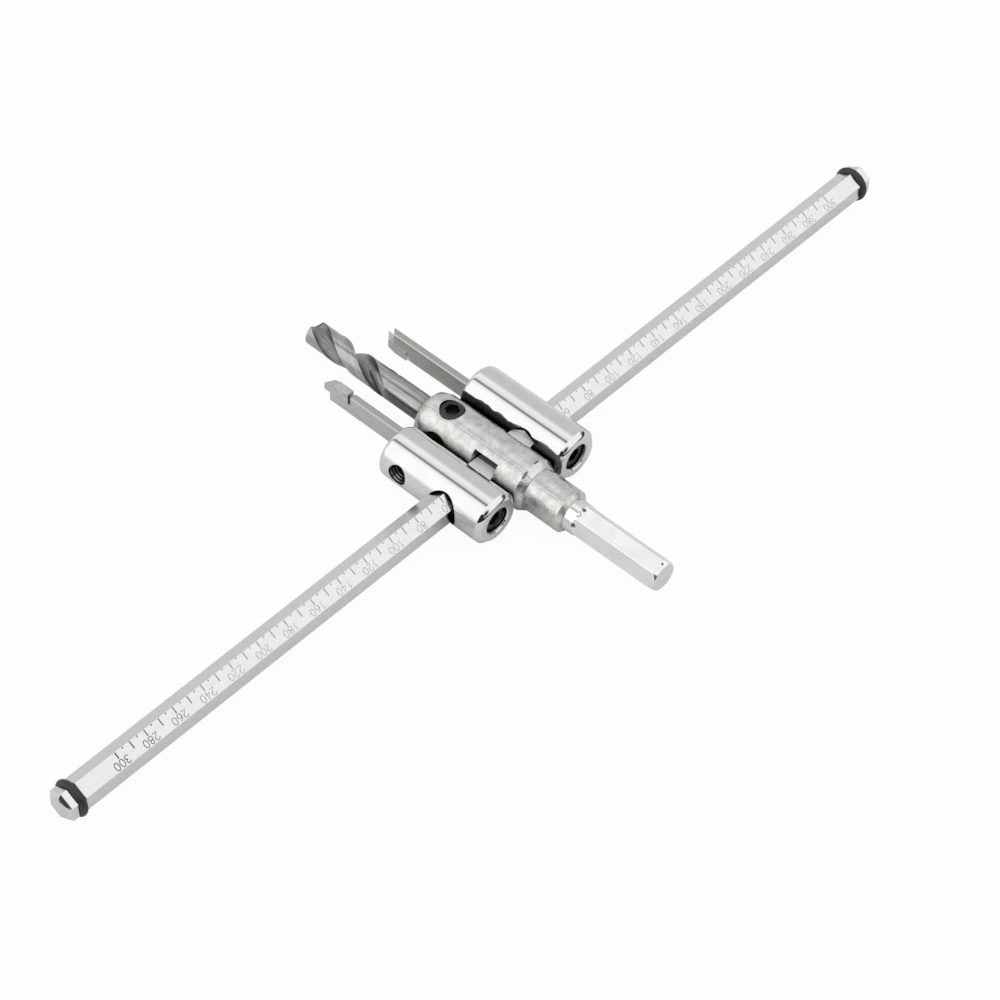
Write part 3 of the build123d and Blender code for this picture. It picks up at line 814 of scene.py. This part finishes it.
hard, tree, surface = new_material("brazed_hard_metal", (0.5, 0.5, 0.49), 1.0, 0.34)
even = stretched(tree, (1, 1, 1))
worn = worn_edges(tree, 0.1)
sintered = noise(tree, even, 6.0, 4)
clouds = noise(tree, even, 0.7, 3)
colour = blend_of(tree, ramp_of(tree, clouds, 0.3, 0.7), (0.5, 0.5, 0.49, 1), (0.66, 0.655, 0.64, 1))
colour = blend_of(tree, product_of(tree, worn["Mask"], 0.6), colour, (0.88, 0.88, 0.87, 1))
tree.links.new(colour, surface.inputs["Base Color"])
tree.links.new(ramp_of(tree, sintered, 0.3, 0.7, 0.28, 0.42), surface.inputs["Roughness"])
tree.links.new(bump(tree, sintered, 0.012, 0.5, worn["Normal"]), surface.inputs["Normal"])
for side in ("left", "right"):
    blade = turned_copy("blade_" + side, [])
    settle(blade, "blade_" + side, ground)
    tip = turned_copy("blade_tip_" + side, [])
    settle(tip, "blade_tip_" + side, hard)


# Pilot drill: tool steel, ground round, with two flutes wound round a thin core. Behind each
# cutting edge a narrow margin keeps the full size and the rest of the land is ground back.
drill_radius = 4.0 * mm
drill_rear = 67.5 * mm
drill_point = 133.8 * mm
point_half_angle = math.radians(59)
flute_radius = 3.0 * mm
flute_offset = 1.0 * mm + flute_radius * math.cos(math.radians(15))
flute_pitch = 37.0 * mm
flute_rear = 100.5 * mm
runout = 9.0 * mm
web_radius = 1.0 * mm
drill_turn = math.radians(-12)
land_radius = 3.86 * mm
margin = math.radians(13)


def drill_section():
    """Angle, distance from the axis and place in a flute of the unwound section's points.

    A flute is the near side of a circle of its own radius; a point at angle g on it stands
    flute_offset - flute_radius cos g along the flute's middle line and flute_radius sin g off it.
    From the heel of a flute the land runs round a little inside the full radius, and before the
    cutting edge of the other flute the margin stands at the full radius.
    """
    far = flute_offset**2 + flute_radius**2
    reach_margin = math.acos((far - drill_radius**2) / (2 * flute_offset * flute_radius))
    reach_heel = math.acos((far - land_radius**2) / (2 * flute_offset * flute_radius))
    g = np.linspace(-reach_margin, reach_heel, 49)
    along = flute_offset - flute_radius * np.cos(g)
    aside = flute_radius * np.sin(g)
    flute_angle = np.arctan2(aside, along)
    heel = flute_angle[-1]
    edge = np.pi + flute_angle[0]
    land_angle = np.linspace(heel, edge - margin, 18)[1:]
    margin_angle = np.linspace(edge - margin + 0.01, edge, 7)[:-1]
    angle = np.concatenate([flute_angle, land_angle, margin_angle])
    radius = np.concatenate(
        [np.hypot(along, aside), 0 * land_angle + land_radius, 0 * margin_angle + drill_radius]
    )
    in_flute = np.arange(len(angle)) < len(g)
    return np.append(angle, angle + np.pi), np.append(radius, radius), np.append(in_flute, in_flute)


def drill_mesh(name):
    """The whole drill as one closed surface.

    A point runs along the axis with the station and round it with the angle. Up to the flutes
    the radius is the full one; past them it is that of the section, wound by one turn a pitch,
    but never less than the cone over which the flutes run out; a point that this cone pushes out
    of a flute also keeps to the flute's own width there. The last rows shrink toward the axis
    along the cone of the point.
    """
    angle, own_radius, in_flute = drill_section()
    station = np.concatenate(
        [
            [drill_rear, drill_rear, drill_rear + 0.5 * mm],
            np.linspace(drill_rear + 0.6 * mm, flute_rear, 12),
            np.linspace(flute_rear + 0.2 * mm, drill_point, 190),
        ]
    )
    tip_station = drill_point - own_radius / math.tan(point_half_angle)
    rows = np.minimum(station[:, None], tip_station[None, :])
    share = np.clip((rows - flute_rear) / runout, 0, 1)
    core = drill_radius + (web_radius - drill_radius) * share
    radius = np.where(rows < flute_rear, drill_radius, np.maximum(own_radius[None, :], core))
    from_flute = np.mod(angle + np.pi / 2, np.pi) - np.pi / 2
    cosine = (radius**2 + flute_offset**2 - flute_radius**2) / (2 * radius * flute_offset)
    wall = np.arccos(np.clip(cosine, -1, 1))
    pushed = in_flute[None, :] & (radius > own_radius[None, :] + 1e-9)
    wall = np.where(pushed, wall, np.pi / 2)
    angle = angle[None, :] + np.clip(from_flute, -wall, wall) - from_flute
    radius[0] = 0
    radius[1] = drill_radius - 0.5 * mm
    shrink = np.linspace(1, 0, 12)[1:, None]
    cap_radius = own_radius[None, :] * shrink
    cap_station = drill_point - cap_radius / math.tan(point_half_angle)
    rows = np.vstack([rows, cap_station])
    radius = np.vstack([radius, cap_radius])
    angle = np.vstack([angle, np.repeat(angle[-1:], len(cap_radius), axis=0)])
    wound = angle + drill_turn + 2 * np.pi * np.maximum(rows - flute_rear, 0) / flute_pitch
    places = np.stack([-radius * np.cos(wound), rows, radius * np.sin(wound)], axis=-1)
    return grid_mesh(name, places)


drill_steel, tree, surface = new_material("drill_steel", (0.38, 0.375, 0.36), 1.0, 0.2)
even = stretched(tree, (1, 1, 1))
worn = worn_edges(tree, 0.1)
place = put(tree, "ShaderNodeSeparateXYZ", {"Vector": even})
# Angle round the drill with the winding taken out, so that the grinding lines follow the flutes
leftward = product_of(tree, place.outputs["X"], -1.0)
wound = math_of(tree, "ARCTAN2", place.outputs["Z"], leftward)
turning = less_of(tree, place.outputs["Y"], flute_rear / mm)
turning = product_of(tree, turning, 2 * math.pi * mm / flute_pitch)
own_angle = less_of(tree, wound, turning)
along = put(
    tree,
    "ShaderNodeCombineXYZ",
    {
        0: product_of(tree, math_of(tree, "COSINE", own_angle), 9.0),
        1: product_of(tree, math_of(tree, "SINE", own_angle), 9.0),
        2: product_of(tree, place.outputs["Y"], 0.12),
    },
).outputs[0]
streaks = noise(tree, along, 1.0, 4, 0.6)
drawn = noise(tree, stretched(tree, (2.2, 0.1, 2.2)), 1.0, 2)
fluted = ramp_of(tree, place.outputs["Y"], 100.0, 103.0)
lines = level_of(tree, fluted, drawn, streaks)
smears = handled(tree, even, 0.4)["Smear"]
colour = blend_of(tree, ramp_of(tree, lines, 0.3, 0.7), (0.32, 0.315, 0.305, 1), (0.56, 0.555, 0.54, 1))
colour = blend_of(tree, product_of(tree, smears, 0.2), colour, (0.25, 0.24, 0.225, 1))
colour = blend_of(tree, product_of(tree, worn["Mask"], 0.5), colour, (0.6, 0.6, 0.59, 1))
# The flutes are painted dark in streaks, painted shade of their hollows; the ground rounds outside them
# stay bright
level_place = put(tree, "ShaderNodeCombineXYZ", {0: place.outputs["X"], 1: place.outputs["Z"]})
from_axis = vector_math_of(tree, "DISTANCE", level_place.outputs[0], (0, 0, 0))
in_flute = product_of(tree, ramp_of(tree, from_axis, 3.84, 3.78), fluted)
flute_shade = product_of(tree, in_flute, ramp_of(tree, lines, 0.35, 0.6, 0.55, 0.0))
colour = blend_of(tree, flute_shade, colour, (0.12, 0.115, 0.105, 1))
# The lower side of the plain rear part is painted dark, painted reflection of the shaded table beneath
# it. Grease is a guess; it may be a reflection alone.
underside_shade = product_of(tree, ramp_of(tree, place.outputs["Z"], 2.2, 1.0), 0.75)
underside_shade = product_of(tree, underside_shade, ramp_of(tree, place.outputs["Y"], 104.0, 98.0))
colour = blend_of(tree, underside_shade, colour, (0.07, 0.067, 0.06, 1))
# Painted shade darkens the drill in its flutes and where the arbor holds it
colour = blend_of(tree, hidden_film(tree, 3.5, 0.35, 1.0), colour, (0.05, 0.048, 0.042, 1))
tree.links.new(colour, surface.inputs["Base Color"])
roughness = ramp_of(tree, lines, 0.3, 0.7, 0.16, 0.27)
tree.links.new(
    sum_of(tree, roughness, product_of(tree, in_flute, 0.2)), surface.inputs["Roughness"]
)
tree.links.new(bump(tree, lines, 0.01, 0.6, worn["Normal"]), surface.inputs["Normal"])
drill = shown_object("pilot_drill_ground", drill_mesh("pilot_drill_ground"))
drill.data.set_sharp_from_angle(angle=math.radians(35))
settle(drill, "pilot_drill", drill_steel)


# Set screws: headless, alloy steel blacked in hot salts, each with a hexagon socket. The rims
# that a key rubs are a little brighter than the rest.
oxide, tree, surface = new_material("black_oxide", (0.05, 0.05, 0.052), 0.9, 0.38)
even = stretched(tree, (1, 1, 1))
worn = worn_edges(tree, 0.12)
smears = handled(tree, even, 0.8)["Smear"]
colour = blend_of(tree, smears, (0.045, 0.045, 0.048, 1), (0.085, 0.083, 0.08, 1))
colour = blend_of(tree, product_of(tree, worn["Mask"], 0.6), colour, (0.24, 0.24, 0.235, 1))
# Painted shade darkens the sockets and where the screws sit deep in their bores
colour = blend_of(tree, hidden_film(tree, 3.0, 0.2, 0.75), colour, (0.004, 0.004, 0.004, 1))
tree.links.new(colour, surface.inputs["Base Color"])
tree.links.new(ramp_of(tree, smears, 0, 1, 0.3, 0.5), surface.inputs["Roughness"])
tree.links.new(bump(tree, smears, 0.01, 0.4, worn["Normal"]), surface.inputs["Normal"])
screw_axes = {
    "drill_lock_screw": ((0, drill_screw_y, 0), z_axis),
    "side_lock_screw": ((0, side_screw_y, 0), x_axis),
    "beam_lock_screw": ((0, bar_y, 0), z_axis),
    "bar_lock_screw_left": ((-holder_x, 0, 0), y_axis),
    "bar_lock_screw_right": ((holder_x, 0, 0), y_axis),
    "blade_lock_screw_left": ((0, blade_screw_y, blade_screw_z), x_axis),
    "blade_lock_screw_right": ((0, blade_screw_y, blade_screw_z), x_axis),
}
for node, (point, axis) in screw_axes.items():
    screw = turned_copy(node, [(point, axis, 1.4 * mm, 4.1 * mm)])
    settle(screw, node, oxide)


# Studio: a pale table under the tool, soft boxes all round it as a plain bright world, with the
# narrow dark gap between the two overhead boxes and the dark room low behind the camera.
floor_half = 2.0
floor_places = np.array(
    [[[-floor_half, -floor_half, 0], [floor_half, -floor_half, 0]],
     [[-floor_half, floor_half, 0], [floor_half, floor_half, 0]]]
)
floor_places[..., 2] = cad_box[0].z
floor = shown_object("table", grid_mesh("table", floor_places, round_columns=False))
pale, tree, surface = new_material("pale_table", (0.78, 0.78, 0.775), 0.0, 0.6)
surface.inputs["Specular IOR Level"].default_value = 0.0
shown = put(tree, "ShaderNodeLightPath")
mirrored = sum_of(tree, shown.outputs["Is Glossy Ray"], shown.outputs["Is Transmission Ray"])
lift = product_of(tree, shown.outputs["Is Camera Ray"], 0.95)
lift = sum_of(tree, lift, product_of(tree, mirrored, 0.08))
white = put(tree, "ShaderNodeEmission", {"Color": (1, 1, 1, 1), "Strength": 1.0})
mixed = put(tree, "ShaderNodeMixShader", {0: lift, 1: surface.outputs[0], 2: white.outputs[0]})
tree.links.new(mixed.outputs[0], tree.nodes["Material Output"].inputs["Surface"])
floor.data.materials.append(pale)

world = bpy.data.worlds.new("studio")
bpy.context.scene.world = world
world.use_nodes = True
tree = world.node_tree
tree.nodes.clear()
vantage = put(tree, "ShaderNodeTexCoord").outputs["Generated"]
toward = put(tree, "ShaderNodeSeparateXYZ", {"Vector": vantage})
east, north, up = toward.outputs
arch = math_of(tree, "ARCTAN2", up, east)
arch = product_of(tree, arch, 180 / math.pi)
# Level over the arch, from the right-hand horizon (0 degrees) over the top to the left (180)
arch_levels = [
    (0, 0.70), (54, 0.70), (63, 0.86), (70, 1.1), (82, 1.05), (91, 0.9), (95, 0.45), (98, 0.25),
    (101, 0.3), (105, 0.95), (112, 1.2), (122, 1.27), (168, 1.27), (176, 1.0), (180, 0.9),
]
boxes = put(tree, "ShaderNodeFloatCurve", {"Value": product_of(tree, arch, 1 / 180)})
curve = boxes.mapping.curves[0]
full_level = 1.4
for point, (degrees, value) in zip(curve.points, (arch_levels[0], arch_levels[-1])):
    point.location = (degrees / 180, value / full_level)
for degrees, value in arch_levels[1:-1]:
    curve.points.new(degrees / 180, value / full_level)
for point in curve.points:
    point.handle_type = "VECTOR"
boxes.mapping.update()
level = product_of(tree, boxes.outputs["Value"], full_level)
level = level_of(tree, ramp_of(tree, north, 0.22, 0.0), level, 1.12)
# The unlit room shows low behind the camera and in four places between the boxes
dark_level = 0.03
low = math_of(tree, "ABSOLUTE", less_of(tree, up, 0.05))
low = ramp_of(tree, low, 0.13, 0.10)
low = product_of(tree, low, ramp_of(tree, north, -0.25, -0.32))
dark_places = [
    ((-0.80, -0.58, 0.12), 27),
    ((-0.34, -0.83, 0.42), 13),
    ((0.94, -0.3, 0.15), 12),
    ((-0.22, 0.93, 0.29), 8),
]
for centre, reach in dark_places:
    patch = vector_math_of(tree, "DOT_PRODUCT", vantage, tuple(Vector(centre).normalized()))
    edge = math.cos(math.radians(reach))
    low = math_of(tree, "MAXIMUM", low, ramp_of(tree, patch, edge - 0.02, edge + 0.02))
level = level_of(tree, low, level, dark_level)
camera_sees = put(tree, "ShaderNodeLightPath").outputs["Is Camera Ray"]
level = level_of(tree, camera_sees, level, 1.0)
sky = put(tree, "ShaderNodeBackground", {"Color": (1, 1, 1, 1), "Strength": level})
put(tree, "ShaderNodeOutputWorld", {"Surface": sky.outputs[0]})

# Camera: high on the shank's left side, turned slightly, as the photograph was taken. Its place
# is given by what it looks at, the way back from there, the distance, and a small roll.
view_azimuth = math.radians(-50.303)
view_elevation = math.radians(48.545)
view_roll = math.radians(3.502)
view_distance = 845.659 * mm
focal_pixels = 3050.0
image_pixels = 1000.0
picture_x = 497.704
picture_y = 462.465
looked_at = Vector((-0.44 * mm, bar_y, 0))
sensor = 36.0
back = Vector(
    (
        math.sin(view_azimuth) * math.cos(view_elevation),
        -math.cos(view_azimuth) * math.cos(view_elevation),
        math.sin(view_elevation),
    )
)
level_right = Vector((math.cos(view_azimuth), math.sin(view_azimuth), 0))
level_up = back.cross(level_right)
right = level_right * math.cos(view_roll) + level_up * math.sin(view_roll)
over = level_up * math.cos(view_roll) - level_right * math.sin(view_roll)
aside = (picture_x - image_pixels / 2) / focal_pixels * view_distance
below = (picture_y - image_pixels / 2) / focal_pixels * view_distance
lens = bpy.data.cameras.new("camera")
lens.sensor_width = sensor
lens.lens = focal_pixels * sensor / image_pixels
lens.clip_start, lens.clip_end = 0.05, 20
camera = shown_object("camera", lens)
turn = Matrix((right, over, back)).transposed().to_4x4()
turn.translation = looked_at - right * aside + over * below + back * view_distance
camera.matrix_world = turn
bpy.context.scene.camera = camera
bpy.context.scene.view_settings.view_transform = "Standard"
